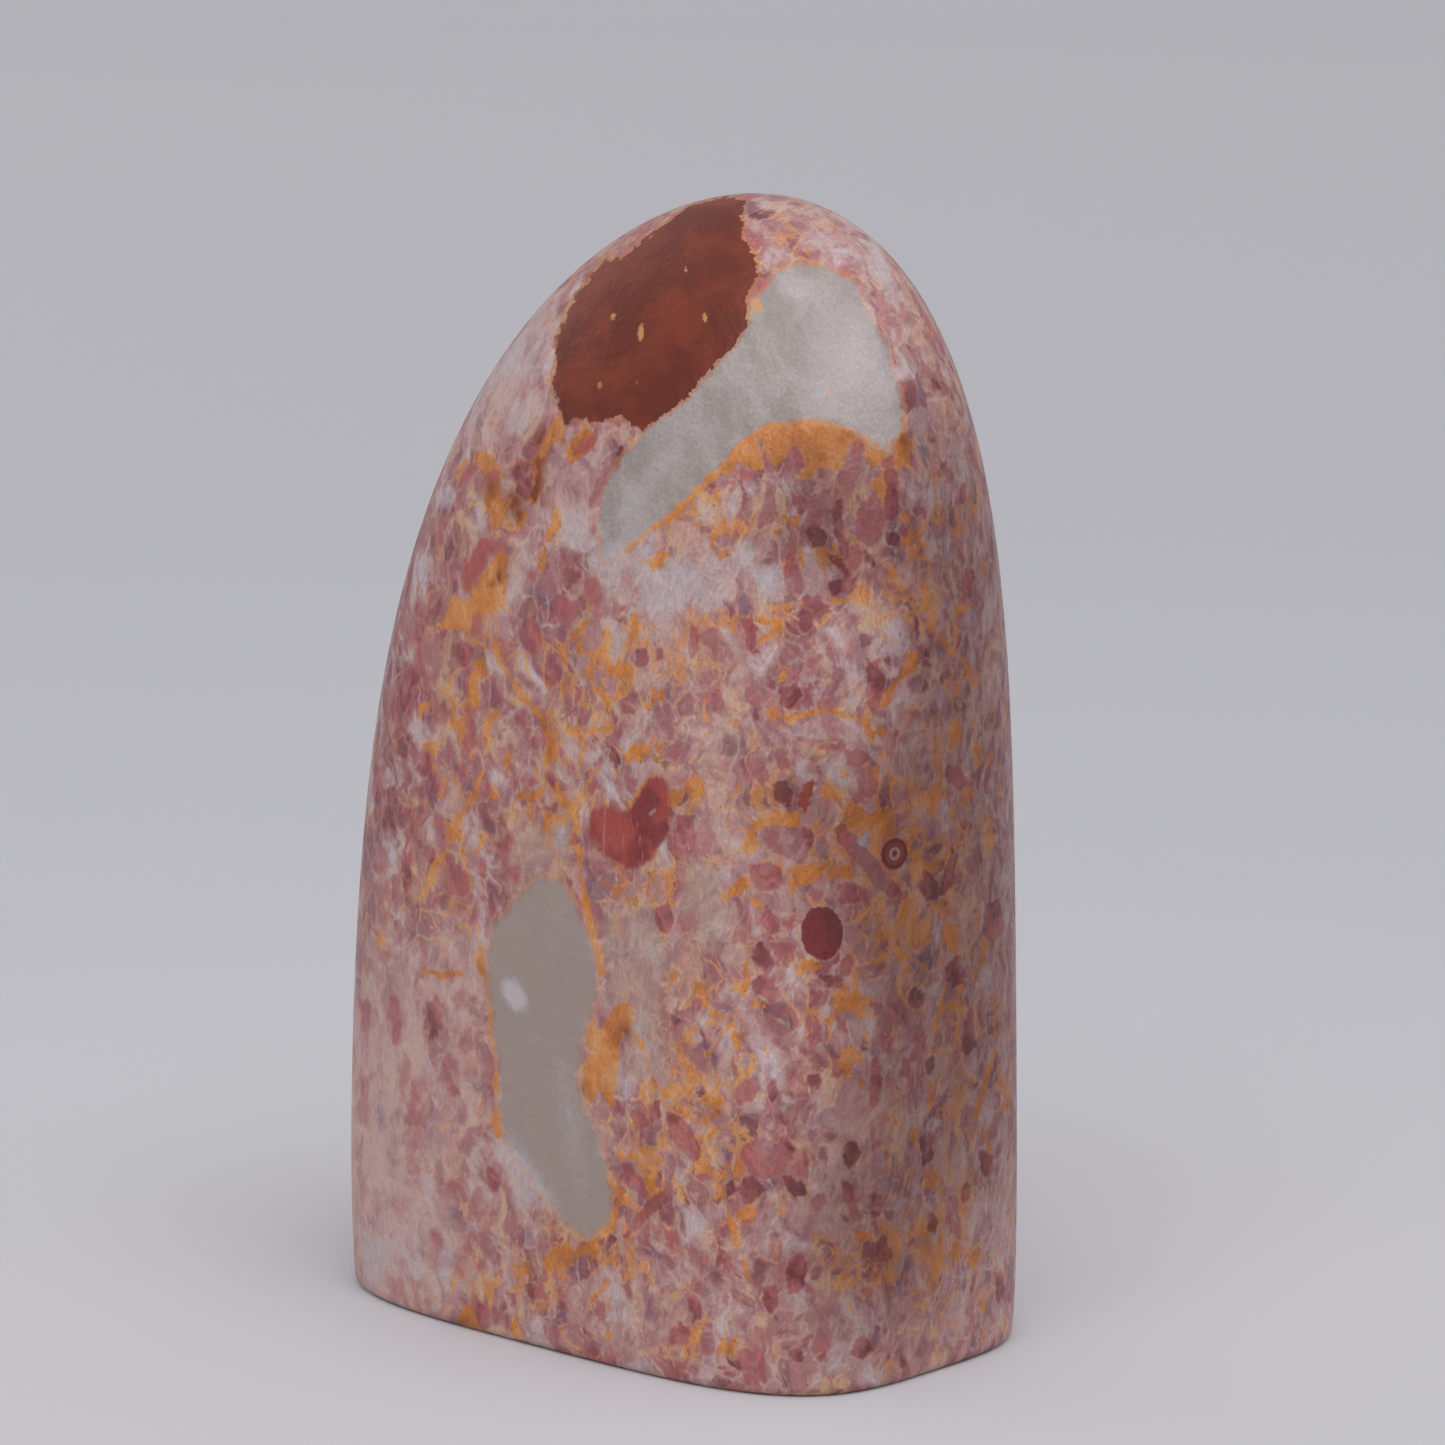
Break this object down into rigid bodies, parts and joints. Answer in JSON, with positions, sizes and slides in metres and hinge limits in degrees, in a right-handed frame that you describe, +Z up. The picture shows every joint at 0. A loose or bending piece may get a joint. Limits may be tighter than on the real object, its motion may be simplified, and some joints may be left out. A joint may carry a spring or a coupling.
{
  "type": "strawberry calcite freeform",
  "caption": "Hand-polished upright display stone: flat sawn base, two broad and two narrow faces, domed crown leaning to one side, mottled mauve, red, orange and grey calcite.",
  "frame": {"origin": "on the resting face, under the centre of the stone's bounding box", "axes": "+Z up from the base, +X along the broad faces towards the side that the crown leans to, +Y out of one broad face"},
  "size_m": [0.0688, 0.041, 0.11],
  "materials": {
    "polished_calcite": "hand-polished to a satin gloss, mottled mauve, crimson, ochre, brick red and translucent grey"
  },
  "bodies": {
    "root": {"calcite_freeform": "polished_calcite"}
  },
  "joints": []
}
